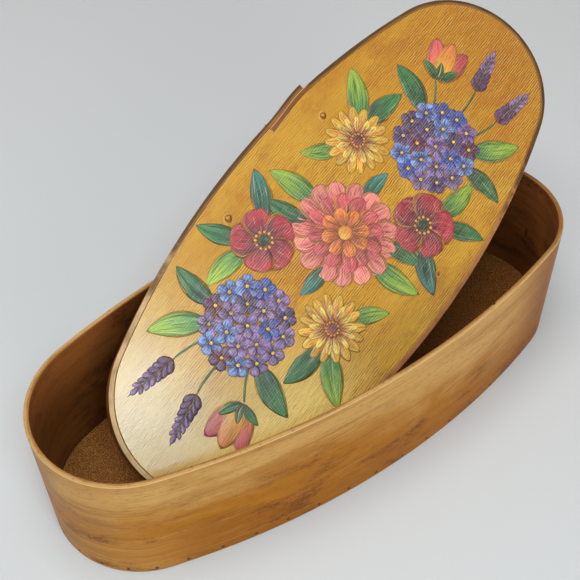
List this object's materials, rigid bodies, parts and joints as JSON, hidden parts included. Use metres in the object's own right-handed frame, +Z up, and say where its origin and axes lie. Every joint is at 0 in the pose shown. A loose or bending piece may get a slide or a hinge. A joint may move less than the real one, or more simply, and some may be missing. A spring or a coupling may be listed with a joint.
{
  "type": "bentwood box",
  "caption": "Oval bentwood keepsake box, open, with its loose painted lid leaning in it: bent strips round flat panels, nailed, with lapped ends.",
  "frame": {"origin": "middle of the box's base, on the surface that it stands on", "axes": "+X along the box towards the end that the lid overhangs, +Y towards the back, where the strips' ends are joined, +Z up"},
  "size_m": [0.4309, 0.2073, 0.1952],
  "materials": {
    "side_wood": "satin varnish",
    "bottom_board": "matt hardboard",
    "lid_wood": "gloss varnish",
    "rim_wood": "satin varnish",
    "nail_steel": "dark, tarnished"
  },
  "bodies": {
    "box": {"box_side": "side_wood", "box_bottom": "bottom_board", "bottom_nails": "nail_steel", "side_tacks": "nail_steel"},
    "lid": {"lid_board": "lid_wood", "lid_rim": "rim_wood", "lid_nails": "nail_steel", "lid_tacks": "nail_steel"}
  },
  "joints": [
    {"name": "lid_lift", "type": "slide", "parent": "box", "child": "lid", "axis": [0, 0, 1], "range_m": [0, 0.11]}
  ]
}
